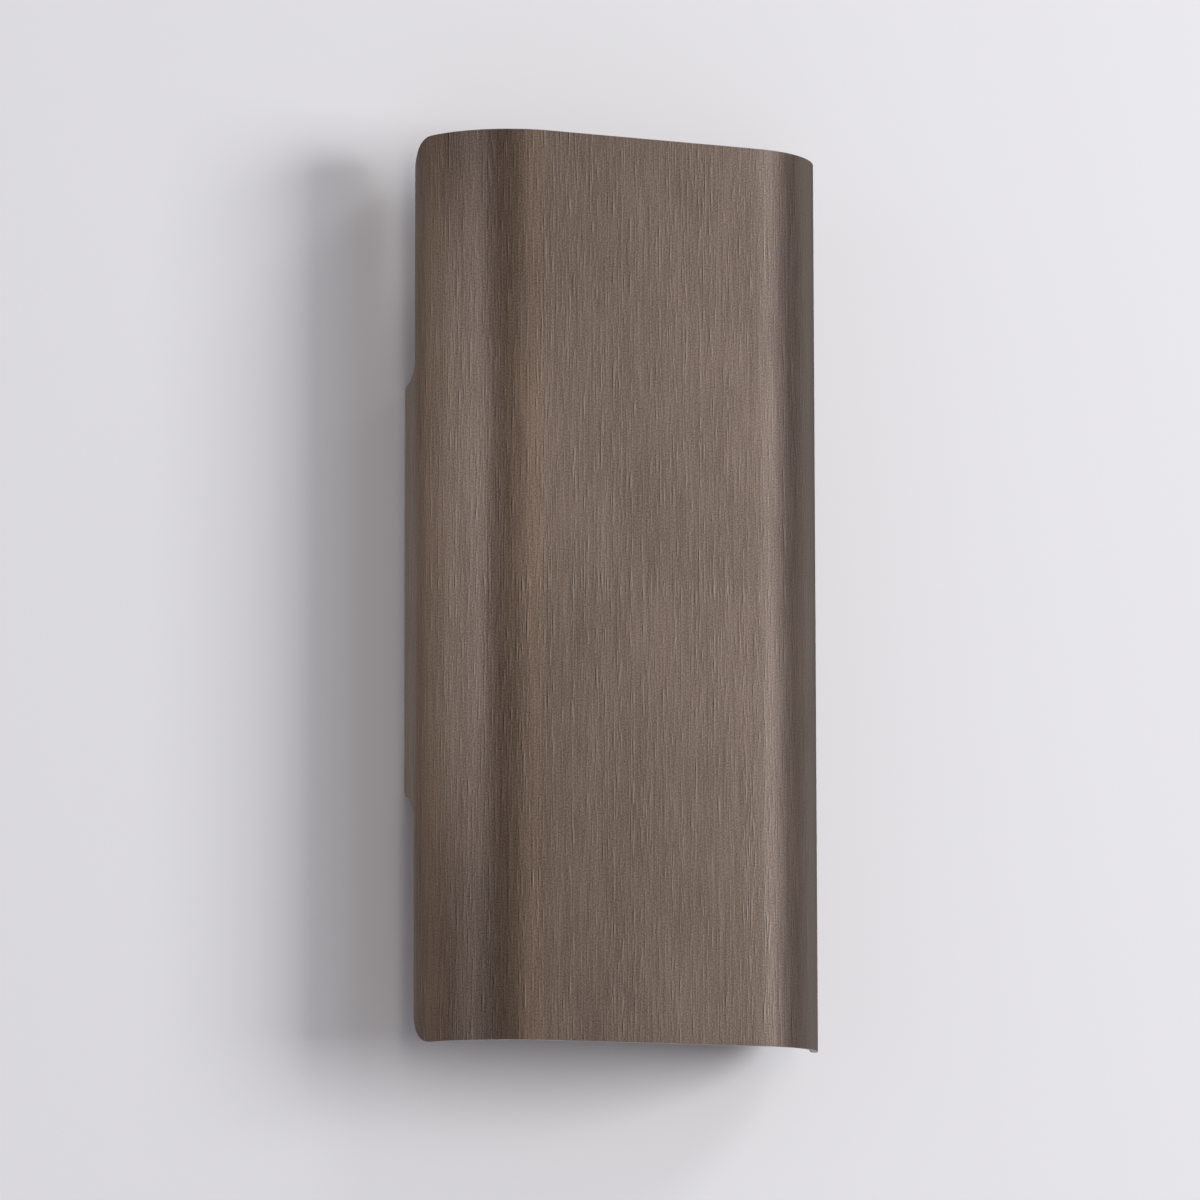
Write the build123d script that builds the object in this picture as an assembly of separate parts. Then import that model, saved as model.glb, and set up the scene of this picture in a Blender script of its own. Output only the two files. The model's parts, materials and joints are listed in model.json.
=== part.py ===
from build123d import *
import math
import os

# Up and down wall light: a bent metal shade that hangs on a wall plate with two plug-in lamps.
# Millimetres. The wall is the plane Y = 0, the front of the light faces -Y and +Z is up.
# The origin is the middle of the wall plate's back face.

# Shade sheet
shade_height = 300.0
shade_width = 143.5
shade_sheet = 1.5
bend_radius = 34.0
tab_reach = 8.0
tab_height = 137.0
tab_corner_radius = 2.5
back_corner_radius = 10.0
wall_gap = 0.5

# Wall plate
plate_thick = 1.5
plate_side_gap = 1.0
plate_corner_radius = 4.0
slot_spacing = 60.0
slot_width = 4.5
slot_length = 12.0
fold_radius = 1.0

# Hooks, hangers, lugs and ears that hold the shade on the plate
strip_thick = 1.5
hook_clearance = 0.5
hook_wall_gap = 1.8
hook_inset = 5.0
hook_length = 22.0
hook_lip_height = 7.5
hook_foot_height = 8.0
hanger_front_leg = 13.0
hanger_overlap = 2.0
strip_fold_radius = 0.4
weld_edge_gap = 0.3
weld_ear_height = 17.5
lug_lane_gap = 2.0
lug_length = 10.0
lug_height = 14.0
lug_inset = 10.5
lug_seat_gap = 0.3
ear_reach = 9.0
ear_foot_height = 14.0

# Cable entry
cable_bore_radius = 4.0
grommet_neck_radius = 6.3
grommet_lip_radius = 8.5
grommet_lip = 1.8
boss_recess_radius = 11.0
boss_rise = 2.5
push_gap = 0.2

# Lampholder brackets
bracket_width = 26.0
bracket_foot_height = 18.0
bracket_front_margin = 1.0
bracket_stud_pitch = 14.0
bay_margin = 5.5

# Ceramic lampholders
holder_radius = 11.0
holder_base_height = 10.0
holder_cap_height = 12.0
holder_cap_length = 20.0
holder_cap_width = 13.0
holder_edge_radius = 0.8
plug_clearance = 0.4
chamber_floor = 3.0
chamber_gap = 0.4
contact_thick = 0.4
contact_width = 3.6
contact_gap = 0.3
holder_screw_pitch = 14.0
holder_screw_depth = 6.0

# Plug-in lamps
plug_length = 14.2
plug_width = 7.4
plug_depth = 10.5
plug_corner_radius = 1.6
pin_pitch = 9.0
pin_wire_radius = 0.4
pin_loop_width = 2.0
pin_length = 7.0
pin_bend_radius = 0.95
collar_radius = 8.2
collar_height = 4.0
collar_edge_radius = 1.0
glass_radius = 8.0
glass_length = 38.0
glass_wall = 1.0
core_width = 8.0
core_thick = 1.2
core_height = 26.0
chip_width = 2.8
chip_height = 3.4
chip_rise = 0.8
chip_rows = 5

# Terminal block
pole_count = 3
pole_pitch = 10.0
block_depth = 14.0
block_height = 18.0
block_grommet_gap = 6.0
barrel_side = 5.6
barrel_bore_radius = 2.1
barrel_inset = 1.0
barrel_gap = 0.1
terminal_screw_spacing = 10.4
terminal_screw_radius = 1.3
terminal_head_radius = 2.1
terminal_head_height = 1.6
terminal_well_radius = 2.4
block_groove_width = 1.6
block_groove_depth = 2.0
block_edge_radius = 0.6

# Earthing point
earth_x = 40.0
earth_drop = 36.0
earth_stud_radius = 2.0
earth_stud_length = 10.0
earth_washer_radius = 4.5
earth_tag_radius = 4.2
earth_tag_thick = 0.8
earth_nut_flats = 7.0
earth_nut_height = 3.2
earth_tag_barrel_radius = 1.5
earth_tag_barrel_length = 6.0
earth_tag_neck = 6.0

# Small fasteners
small_stud_radius = 1.5
small_stud_length = 8.0
small_washer_radius = 3.2
small_nut_flats = 5.5
small_nut_height = 2.4
block_stud_radius = 1.25
block_nut_flats = 5.0
block_nut_height = 2.0
block_pocket_radius = 3.0
block_pocket_depth = 3.0
washer_thick = 0.6
screw_head_radius = 2.8
screw_head_height = 2.0
screw_head_edge_radius = 0.6
screw_slot_width = 0.7
screw_slot_depth = 0.9
clinch_nut_radius = 2.5
clinch_nut_height = 3.0
lock_screw_tip = 0.5
through_clearance = 0.2
press_gap = 0.05
thread_gap = 0.1

# Wires
wire_radius = 0.8
wire_hole_radius = 1.2
wire_end_gap = 0.1
wire_barrel_depth = 5.0
wire_arc_share = 0.45

# Places worked out from the sizes above
tab_back_y = -wall_gap
shade_back_y = tab_back_y - tab_reach
shade_front_y = shade_back_y - bend_radius
shade_inner_x = shade_width / 2 - shade_sheet
tab_half = tab_height / 2
plate_front_y = -plate_thick
plate_half_width = shade_inner_x - plate_side_gap
boss_radius = boss_recess_radius + plate_thick
lamp_y = (plate_front_y + shade_front_y + shade_sheet) / 2
holder_height = holder_base_height + holder_cap_height

# The middle bay between the two brackets holds the terminal block below the cable entry
bay_half = (block_height + block_grommet_gap + 2 * boss_radius) / 2 + bay_margin
seat_z = bay_half + bracket_foot_height
block_bottom_z = -bay_half + bay_margin
block_top_z = block_bottom_z + block_height
block_middle_z = (block_bottom_z + block_top_z) / 2
barrel_y = plate_front_y - block_depth / 2
cable_z = block_top_z + block_grommet_gap + boss_radius

# The hook stack runs forward from the plate: rear leg, lip, front leg
rear_leg_back_y = plate_front_y - hook_wall_gap
lip_back_y = rear_leg_back_y - strip_thick - hook_clearance
lip_front_y = lip_back_y - strip_thick
front_leg_back_y = lip_front_y - hook_clearance
front_leg_front_y = front_leg_back_y - strip_thick
weld_front_y = shade_back_y + weld_edge_gap
hanger_top_z = tab_half - hook_inset
lip_top_z = hanger_top_z - strip_thick
ledge_top_z = lip_top_z - hook_lip_height + strip_thick
lug_inner_x = shade_inner_x - lug_length
hook_outer_x = lug_inner_x - lug_lane_gap
hook_inner_x = hook_outer_x - hook_length
lug_bottom_z = -(tab_half - lug_inset)
ear_top_z = lug_bottom_z - lug_seat_gap
plate_bottom_z = ear_top_z - strip_thick
lock_x = (lug_inner_x + shade_inner_x - strip_thick) / 2
lock_y = (weld_front_y + rear_leg_back_y) / 2

parts = {}


def slab(x_range, y_range, z_range):
    """A box between two values on each axis."""
    ranges = (x_range, y_range, z_range)
    middle = [(low + high) / 2 for low, high in ranges]
    size = [abs(high - low) for low, high in ranges]
    return Pos(*middle) * Box(*size)


def rod(axis, first, second, span, radius):
    """A round bar along X, Y or Z; first and second place it on the other two axes in order."""
    low, high = min(span), max(span)
    bar = Cylinder(radius, high - low)
    middle = (low + high) / 2
    if axis == "X":
        return Pos(middle, first, second) * Rot(0, 90, 0) * bar
    if axis == "Y":
        return Pos(first, middle, second) * Rot(90, 0, 0) * bar
    return Pos(first, second, middle) * bar


def hex_nut(x, z, back_y, flats, height, bore_radius):
    """A hexagon nut on a stud along Y, whose back face is at back_y."""
    hexagon = extrude(RegularPolygon(flats / 2, 6, major_radius=False), height)
    nut = Pos(x, back_y, z) * Rot(90, 0, 0) * hexagon
    return nut - rod("Y", x, z, (back_y, back_y - height), bore_radius)


def washer_y(x, z, back_y, radius, thick, bore_radius):
    """A flat ring on a stud along Y, whose back face is at back_y."""
    span = (back_y, back_y - thick)
    return rod("Y", x, z, span, radius) - rod("Y", x, z, span, bore_radius)


def folded_yz(points, thick, inner_radius, x_range):
    """A folded strip: a centre line in Y and Z given a thickness and run along X."""
    line = FilletPolyline(*points, radius=inner_radius + thick / 2)
    face = trace(line, thick)
    low, high = min(x_range), max(x_range)
    return Pos(low, 0, 0) * extrude(Plane.YZ * face, high - low)


def upside_down(shape):
    """The same piece for the lower half of the light."""
    return mirror(shape, about=Plane.XY)


def left_side(shape):
    """The same piece for the left side of the light."""
    return mirror(shape, about=Plane.YZ)


def group(pieces):
    """Separate solids that share one node."""
    return Compound(children=[solid for piece in pieces for solid in piece.solids()])


# Shade: plan profile with two front bends, cut by the side outline with its tabs
def make_shade():
    depth = tab_back_y - shade_front_y
    middle_y = (tab_back_y + shade_front_y) / 2
    outer = Pos(0, middle_y) * Rectangle(shade_width, depth)
    outer = fillet(outer.vertices().group_by(Axis.Y)[0], bend_radius)
    inner_depth = depth - shade_sheet
    inner = Pos(0, middle_y + shade_sheet / 2) * Rectangle(2 * shade_inner_x, inner_depth)
    inner = fillet(inner.vertices().group_by(Axis.Y)[0], bend_radius - shade_sheet)
    tube = Pos(0, 0, -shade_height / 2) * extrude(outer - inner, shade_height)

    body = Pos((shade_front_y + shade_back_y) / 2, 0) * Rectangle(bend_radius, shade_height)
    body = fillet(body.vertices().group_by(Axis.X)[-1], back_corner_radius)
    tab_middle = (shade_back_y + tab_back_y) / 2
    tab = Pos(tab_middle, 0) * Rectangle(tab_reach, tab_height + 2 * tab_reach)
    for side in (1, -1):
        tab -= Pos(tab_back_y, side * (tab_half + tab_reach)) * Circle(tab_reach)
    tab = fillet(tab.vertices().group_by(Axis.X)[-1], tab_corner_radius)
    outline = Pos(-shade_width / 2, 0, 0) * extrude(Plane.YZ * (body + tab), shade_width)
    return tube & outline


# Hanger: a channel, open downwards, that drops over the hook's lip, with a flange welded to the tab
def make_right_hanger():
    lane = (hook_inner_x - hanger_overlap, shade_inner_x - strip_thick / 2)
    half = strip_thick / 2
    web_z = hanger_top_z - half
    points = (
        (rear_leg_back_y - half, ledge_top_z + hook_clearance),
        (rear_leg_back_y - half, web_z),
        (front_leg_front_y + half, web_z),
        (front_leg_front_y + half, hanger_top_z - hanger_front_leg),
    )
    channel = folded_yz(points, strip_thick, strip_fold_radius, lane)
    ear_x = (shade_inner_x - strip_thick, shade_inner_x)
    ear_z = (hanger_top_z - weld_ear_height, hanger_top_z)
    return channel + slab(ear_x, (weld_front_y, rear_leg_back_y), ear_z)


# Lug: an angle welded to the tab, whose flat leg sits over the plate's ear
def make_right_lug():
    half = strip_thick / 2
    points = (
        (lug_inner_x, lug_bottom_z + half),
        (shade_inner_x - half, lug_bottom_z + half),
        (shade_inner_x - half, lug_bottom_z + lug_height),
    )
    line = FilletPolyline(*points, radius=fold_radius + half)
    width = rear_leg_back_y - weld_front_y
    lug = Pos(0, rear_leg_back_y, 0) * extrude(Plane.XZ * trace(line, strip_thick), width)
    flat = (lug_bottom_z, lug_bottom_z + strip_thick)
    return lug - rod("Z", lock_x, lock_y, flat, small_stud_radius + thread_gap)


def make_right_lug_nut():
    span = (lug_bottom_z + strip_thick, lug_bottom_z + strip_thick + clinch_nut_height)
    body = rod("Z", lock_x, lock_y, span, clinch_nut_radius)
    return body - rod("Z", lock_x, lock_y, span, small_stud_radius + thread_gap)


def make_right_lock_screw():
    tip_z = lug_bottom_z + strip_thick + clinch_nut_height + lock_screw_tip
    head_z = plate_bottom_z - screw_head_height
    head = rod("Z", lock_x, lock_y, (head_z, plate_bottom_z), screw_head_radius)
    head = fillet(head.edges().group_by(Axis.Z)[0], screw_head_edge_radius)
    slot_x = (lock_x - screw_head_radius, lock_x + screw_head_radius)
    slot_y = (lock_y - screw_slot_width / 2, lock_y + screw_slot_width / 2)
    head -= slab(slot_x, slot_y, (head_z, head_z + screw_slot_depth))
    return head + rod("Z", lock_x, lock_y, (plate_bottom_z, tip_z), small_stud_radius)


def bracket_stud_places():
    stud_z = bay_half + bracket_foot_height / 2
    for side in (1, -1):
        for level in (1, -1):
            yield side * bracket_stud_pitch / 2, level * stud_z


def block_stud_places():
    for gap in range(pole_count - 1):
        yield (gap - (pole_count - 2) / 2) * pole_pitch, block_middle_z


def pole_places():
    for pole in range(pole_count):
        yield (pole - (pole_count - 1) / 2) * pole_pitch


# Hook: a folded strip welded to the top of the plate, whose lip carries the shade's hanger
def make_right_hook():
    half = strip_thick / 2
    foot_y = plate_front_y - half
    lip_y = (lip_front_y + lip_back_y) / 2
    ledge_z = ledge_top_z - half
    points = (
        (foot_y, ledge_z - hook_foot_height),
        (foot_y, ledge_z),
        (lip_y, ledge_z),
        (lip_y, lip_top_z),
    )
    return folded_yz(points, strip_thick, strip_fold_radius, (hook_inner_x, hook_outer_x))


# Ear: an angle welded to the foot of the plate, under the shade's lug
def make_right_ear():
    half = strip_thick / 2
    foot_y = plate_front_y - half
    ear_z = ear_top_z - half
    points = ((foot_y, ear_z + ear_foot_height), (foot_y, ear_z), (-ear_reach, ear_z))
    ear = folded_yz(points, strip_thick, strip_fold_radius, (hook_outer_x, plate_half_width))
    return ear - rod("Z", lock_x, lock_y, (plate_bottom_z, ear_top_z), small_stud_radius + through_clearance)


# Wall plate: a flat plate with a raised cable entry, two screw slots and holes for its studs
def make_backplate():
    height = ledge_top_z - plate_bottom_z
    middle_z = (ledge_top_z + plate_bottom_z) / 2
    face = RectangleRounded(2 * plate_half_width, height, plate_corner_radius)
    plate = Pos(0, 0, middle_z) * extrude(Plane.XZ * face, plate_thick)
    boss_front_y = plate_front_y - boss_rise
    plate += rod("Y", 0, cable_z, (0, boss_front_y), boss_radius)
    plate -= rod("Y", 0, cable_z, (0, -boss_rise), boss_recess_radius)
    plate -= rod("Y", 0, cable_z, (0, boss_front_y), grommet_neck_radius + push_gap)
    for side in (1, -1):
        slot = SlotOverall(slot_length, slot_width)
        plate -= Pos(side * slot_spacing / 2, 0, 0) * extrude(Plane.XZ * slot, plate_thick)
    for x, z in bracket_stud_places():
        plate -= rod("Y", x, z, (0, plate_front_y), small_stud_radius + press_gap)
    for x, z in block_stud_places():
        plate -= rod("Y", x, z, (0, plate_front_y), block_stud_radius + press_gap)
    return plate - rod("Y", earth_x, -earth_drop, (0, plate_front_y), earth_stud_radius + press_gap)


def make_grommet():
    back = (-boss_rise + grommet_lip, -boss_rise)
    front = (plate_front_y - boss_rise, plate_front_y - boss_rise - grommet_lip)
    neck = (back[1], front[0])
    lips = rod("Y", 0, cable_z, back, grommet_lip_radius) + rod("Y", 0, cable_z, front, grommet_lip_radius)
    ring = lips + rod("Y", 0, cable_z, neck, grommet_neck_radius)
    return ring - rod("Y", 0, cable_z, (back[0], front[1]), cable_bore_radius)


# Bracket: a folded angle with its foot on the plate and its shelf under the lampholder
def make_upper_bracket():
    half = strip_thick / 2
    foot_y = plate_front_y - half
    shelf_z = seat_z - half
    front_y = lamp_y - holder_radius - bracket_front_margin
    points = ((foot_y, bay_half), (foot_y, shelf_z), (front_y, shelf_z))
    lane = (-bracket_width / 2, bracket_width / 2)
    bracket = folded_yz(points, strip_thick, fold_radius, lane)
    for x, z in bracket_stud_places():
        foot = (plate_front_y, plate_front_y - strip_thick)
        bracket -= rod("Y", x, z, foot, small_stud_radius + through_clearance)
    shelf = (seat_z - strip_thick, seat_z)
    for side in (1, -1):
        bracket -= rod("Z", side * pin_pitch / 2, lamp_y, shelf, wire_hole_radius)
        screw_y = lamp_y + side * holder_screw_pitch / 2
        bracket -= rod("Z", 0, screw_y, shelf, small_stud_radius + through_clearance)
    return bracket


# Lampholder: a round ceramic base with two contact chambers
def make_upper_lampholder():
    top_z = seat_z + holder_base_height
    body = rod("Z", 0, lamp_y, (seat_z, top_z), holder_radius)
    body = fillet(body.edges().group_by(Axis.Z)[-1], holder_edge_radius)
    contact_half = pin_wire_radius + contact_gap + contact_thick
    chamber_y = (lamp_y - contact_half - chamber_gap, lamp_y + contact_half + chamber_gap)
    for side in (1, -1):
        contact_x = side * pin_pitch / 2
        reach = contact_width / 2 + chamber_gap
        chamber_z = (seat_z + chamber_floor, top_z)
        body -= slab((contact_x - reach, contact_x + reach), chamber_y, chamber_z)
        body -= rod("Z", contact_x, lamp_y, (seat_z, seat_z + chamber_floor), wire_hole_radius)
        screw_y = lamp_y + side * holder_screw_pitch / 2
        screw_z = (seat_z, seat_z + holder_screw_depth + thread_gap)
        body -= rod("Z", 0, screw_y, screw_z, small_stud_radius + thread_gap)
    return body


# Holder cap: a ceramic collar, cemented on the base, that the lamp's plug fits into
def make_upper_holder_cap():
    cap = extrude(SlotOverall(holder_cap_length, holder_cap_width), holder_cap_height)
    cap = fillet(cap.edges().group_by(Axis.Z)[-1], holder_edge_radius)
    length = plug_length + 2 * plug_clearance
    width = plug_width + 2 * plug_clearance
    cap -= extrude(RectangleRounded(length, width, plug_corner_radius), holder_cap_height)
    return Pos(0, lamp_y, seat_z + holder_base_height) * cap


# Contacts: one springy channel for each pin of the lamp
def make_upper_contacts():
    half = contact_thick / 2
    reach = pin_wire_radius + contact_gap + half
    top_z = seat_z + holder_base_height - chamber_gap
    floor_z = seat_z + chamber_floor + half
    points = (
        (lamp_y - reach, top_z),
        (lamp_y - reach, floor_z),
        (lamp_y + reach, floor_z),
        (lamp_y + reach, top_z),
    )
    pieces = []
    for side in (1, -1):
        middle = side * pin_pitch / 2
        lane = (middle - contact_width / 2, middle + contact_width / 2)
        pieces.append(folded_yz(points, contact_thick, contact_thick, lane))
    return group(pieces)


def make_upper_holder_screws():
    under_z = seat_z - strip_thick
    pieces = []
    for side in (1, -1):
        y = lamp_y + side * holder_screw_pitch / 2
        head = rod("Z", 0, y, (under_z - screw_head_height, under_z), screw_head_radius)
        head = fillet(head.edges().group_by(Axis.Z)[0], screw_head_edge_radius)
        slot_y = (y - screw_slot_width / 2, y + screw_slot_width / 2)
        slot_z = (under_z - screw_head_height, under_z - screw_head_height + screw_slot_depth)
        head -= slab((-screw_head_radius, screw_head_radius), slot_y, slot_z)
        pieces.append(head + rod("Z", 0, y, (under_z, seat_z + holder_screw_depth), small_stud_radius))
    return group(pieces)


# Lamp: a plug with a round collar, two wire loops as pins, a lit core and a glass capsule
def make_upper_lamp_base():
    top_z = seat_z + holder_height
    plug = extrude(RectangleRounded(plug_length, plug_width, plug_corner_radius), plug_depth)
    collar = rod("Z", 0, lamp_y, (top_z, top_z + collar_height), collar_radius)
    collar = fillet(collar.edges().group_by(Axis.Z)[0], collar_edge_radius)
    return collar + Pos(0, lamp_y, top_z - plug_depth) * plug


def make_upper_lamp_pins():
    start_z = seat_z + holder_height - plug_depth
    end_z = start_z - pin_length
    pieces = []
    for side in (1, -1):
        left = side * pin_pitch / 2 - pin_loop_width / 2
        right = left + pin_loop_width
        points = ((left, start_z), (left, end_z), (right, end_z), (right, start_z))
        line = FilletPolyline(*[(x, lamp_y, z) for x, z in points], radius=pin_bend_radius)
        pieces.append(sweep(Plane(line @ 0, z_dir=line % 0) * Circle(pin_wire_radius), path=line))
    return group(pieces)


def make_upper_lamp_core():
    foot_z = seat_z + holder_height + collar_height
    board_y = (lamp_y - core_thick / 2, lamp_y + core_thick / 2)
    core = slab((-core_width / 2, core_width / 2), board_y, (foot_z, foot_z + core_height))
    pitch = core_height / chip_rows
    chip_y = (board_y[0] - chip_rise, board_y[1] + chip_rise)
    for row in range(chip_rows):
        middle_z = foot_z + (row + 0.5) * pitch
        chip_z = (middle_z - chip_height / 2, middle_z + chip_height / 2)
        for side in (1, -1):
            middle_x = side * core_width / 4
            core += slab((middle_x - chip_width / 2, middle_x + chip_width / 2), chip_y, chip_z)
    return core


def make_upper_lamp_glass():
    foot_z = seat_z + holder_height + collar_height
    dome_z = foot_z + glass_length - glass_radius
    inner_radius = glass_radius - glass_wall
    dome = Pos(0, lamp_y, dome_z)
    outer = rod("Z", 0, lamp_y, (foot_z, dome_z), glass_radius) + dome * Sphere(glass_radius)
    inner = rod("Z", 0, lamp_y, (foot_z, dome_z), inner_radius) + dome * Sphere(inner_radius)
    return outer - inner


# Terminal block: an insulating body with a brass barrel and two screws for each pole
def make_terminal_block():
    width = pole_count * pole_pitch
    front_y = plate_front_y - block_depth
    span_z = (block_bottom_z, block_top_z)
    body = slab((-width / 2, width / 2), (front_y, plate_front_y), span_z)
    body = fillet(body.edges().filter_by(Axis.Z), block_edge_radius)
    reach = barrel_side / 2 + barrel_gap
    for x in pole_places():
        body -= slab((x - reach, x + reach), (barrel_y - reach, barrel_y + reach), span_z)
        for side in (1, -1):
            z = block_middle_z + side * terminal_screw_spacing / 2
            body -= rod("Y", x, z, (front_y, barrel_y - reach), terminal_well_radius)
    for x, z in block_stud_places():
        body -= rod("Y", x, z, (front_y, plate_front_y), block_stud_radius + through_clearance)
        body -= rod("Y", x, z, (front_y, front_y + block_pocket_depth), block_pocket_radius)
        groove_x = (x - block_groove_width / 2, x + block_groove_width / 2)
        for side in (1, -1):
            edge = block_middle_z + side * block_height / 2
            groove_z = (edge, edge - side * block_groove_depth)
            body -= slab(groove_x, (front_y, plate_front_y), groove_z)
    return body


def make_terminal_barrels():
    half = barrel_side / 2
    span_z = (block_bottom_z + barrel_inset, block_top_z - barrel_inset)
    pieces = []
    for x in pole_places():
        barrel = slab((x - half, x + half), (barrel_y - half, barrel_y + half), span_z)
        barrel -= rod("Z", x, barrel_y, span_z, barrel_bore_radius)
        for side in (1, -1):
            z = block_middle_z + side * terminal_screw_spacing / 2
            barrel -= rod("Y", x, z, (barrel_y - half, barrel_y), terminal_screw_radius + press_gap)
        pieces.append(barrel)
    return group(pieces)


def make_terminal_screws():
    tip_y = barrel_y - wire_radius - push_gap
    head_back_y = barrel_y - barrel_side / 2 - barrel_gap
    head_front_y = head_back_y - terminal_head_height
    pieces = []
    for x in pole_places():
        for side in (1, -1):
            z = block_middle_z + side * terminal_screw_spacing / 2
            head = rod("Y", x, z, (head_back_y, head_front_y), terminal_head_radius)
            slot_z = (z - screw_slot_width / 2, z + screw_slot_width / 2)
            slot_x = (x - terminal_head_radius, x + terminal_head_radius)
            head -= slab(slot_x, (head_front_y, head_front_y + screw_slot_depth), slot_z)
            pieces.append(head + rod("Y", x, z, (head_back_y, tip_y), terminal_screw_radius))
    return group(pieces)


def make_terminal_studs():
    end_y = plate_front_y - block_depth + block_pocket_depth - block_nut_height - thread_gap
    return group([rod("Y", x, z, (0, end_y), block_stud_radius) for x, z in block_stud_places()])


def make_terminal_nuts():
    back_y = plate_front_y - block_depth + block_pocket_depth
    bore = block_stud_radius + press_gap
    places = block_stud_places()
    return group([hex_nut(x, z, back_y, block_nut_flats, block_nut_height, bore) for x, z in places])


def make_bracket_studs():
    end_y = plate_front_y - small_stud_length
    return group([rod("Y", x, z, (0, end_y), small_stud_radius) for x, z in bracket_stud_places()])


def make_bracket_washers():
    back_y = plate_front_y - strip_thick
    bore = small_stud_radius + through_clearance
    places = bracket_stud_places()
    return group([washer_y(x, z, back_y, small_washer_radius, washer_thick, bore) for x, z in places])


def make_bracket_nuts():
    back_y = plate_front_y - strip_thick - washer_thick
    bore = small_stud_radius + press_gap
    places = bracket_stud_places()
    return group([hex_nut(x, z, back_y, small_nut_flats, small_nut_height, bore) for x, z in places])


# Earthing point: the stack on its stud is washer, tag, washer, nut
earth_tag_back_y = plate_front_y - washer_thick
earth_lock_back_y = earth_tag_back_y - earth_tag_thick
earth_nut_back_y = earth_lock_back_y - washer_thick
earth_barrel_y = earth_tag_back_y - earth_tag_barrel_radius
earth_barrel_end_x = earth_x - earth_tag_neck - earth_tag_barrel_length


def make_earth_washers():
    bore = earth_stud_radius + through_clearance
    backs = (plate_front_y, earth_lock_back_y)
    return group([washer_y(earth_x, -earth_drop, y, earth_washer_radius, washer_thick, bore) for y in backs])


def make_earth_tag():
    span_y = (earth_tag_back_y, earth_tag_back_y - earth_tag_thick)
    ring = rod("Y", earth_x, -earth_drop, span_y, earth_tag_radius)
    half = earth_tag_barrel_radius
    neck_x = (earth_x - earth_tag_neck - half, earth_x)
    ring += slab(neck_x, span_y, (-earth_drop - half, -earth_drop + half))
    barrel_x = (earth_barrel_end_x, earth_x - earth_tag_neck)
    ring += rod("X", earth_barrel_y, -earth_drop, barrel_x, earth_tag_barrel_radius)
    ring -= rod("X", earth_barrel_y, -earth_drop, barrel_x, wire_radius + press_gap)
    return ring - rod("Y", earth_x, -earth_drop, span_y, earth_stud_radius + through_clearance)


# Wires: straight runs joined by tangent arcs, each arc as large as its two runs allow
def make_wire(name, points):
    corners = [Vector(*point) for point in points]
    runs = [after - before for before, after in zip(corners, corners[1:])]
    radii = []
    for before, after in zip(runs, runs[1:]):
        half_turn = math.radians(before.get_angle(after)) / 2
        radii.append(wire_arc_share * min(before.length, after.length) / math.tan(half_turn))
    line = FilletPolyline(*points, radius=radii)
    wire = sweep(Plane(line @ 0, z_dir=line % 0) * Circle(wire_radius), path=line)
    expected = math.pi * wire_radius**2 * line.length
    share = round(wire.volume / expected, 4)
    print(name, "radii", [round(radius, 1) for radius in radii], "volume share", share)
    return wire


def make_wires():
    live_x, neutral_x, earth_pole_x = pole_places()
    pin_x = pin_pitch / 2
    upper_start = block_top_z - wire_barrel_depth
    lower_start = block_bottom_z + wire_barrel_depth
    end_z = seat_z + chamber_floor - wire_end_gap
    routes = {
        "upper_live_wire": (
            (live_x, barrel_y, upper_start),
            (-13.0, -9.0, 4.0),
            (-13.0, -11.0, 23.0),
            (-pin_x, lamp_y, 36.0),
            (-pin_x, lamp_y, end_z),
        ),
        "upper_neutral_wire": (
            (neutral_x, barrel_y, upper_start),
            (1.0, -9.0, -2.0),
            (11.5, -10.0, 9.0),
            (12.5, -12.5, 24.0),
            (pin_x, lamp_y, 37.0),
            (pin_x, lamp_y, end_z),
        ),
        "lower_live_wire": (
            (live_x, barrel_y, lower_start),
            (-10.4, -9.5, -30.0),
            (-pin_x, lamp_y, -37.5),
            (-pin_x, lamp_y, -end_z),
        ),
        "lower_neutral_wire": (
            (neutral_x, barrel_y, lower_start),
            (0.4, -9.5, -30.0),
            (pin_x, lamp_y, -37.5),
            (pin_x, lamp_y, -end_z),
        ),
        "earth_lead": (
            (earth_pole_x, barrel_y, lower_start),
            (10.5, -8.2, -29.0),
            (18.0, earth_barrel_y, -earth_drop),
            (earth_barrel_end_x + earth_tag_barrel_length / 2, earth_barrel_y, -earth_drop),
        ),
    }
    return {name: make_wire(name, points) for name, points in routes.items()}


# Shade and what is welded into it
parts["shade"] = make_shade()
parts["right_hanger"] = make_right_hanger()
parts["left_hanger"] = left_side(parts["right_hanger"])
parts["right_lug"] = make_right_lug()
parts["left_lug"] = left_side(parts["right_lug"])
right_lug_nut = make_right_lug_nut()
parts["lug_nuts"] = group([right_lug_nut, left_side(right_lug_nut)])

# Wall plate with its fasteners
right_lock_screw = make_right_lock_screw()
parts["backplate"] = make_backplate()
parts["right_hook"] = make_right_hook()
parts["left_hook"] = left_side(parts["right_hook"])
parts["right_ear"] = make_right_ear()
parts["left_ear"] = left_side(parts["right_ear"])
parts["cable_grommet"] = make_grommet()
parts["lock_screws"] = group([right_lock_screw, left_side(right_lock_screw)])
parts["bracket_studs"] = make_bracket_studs()
parts["bracket_washers"] = make_bracket_washers()
parts["bracket_nuts"] = make_bracket_nuts()

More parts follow.
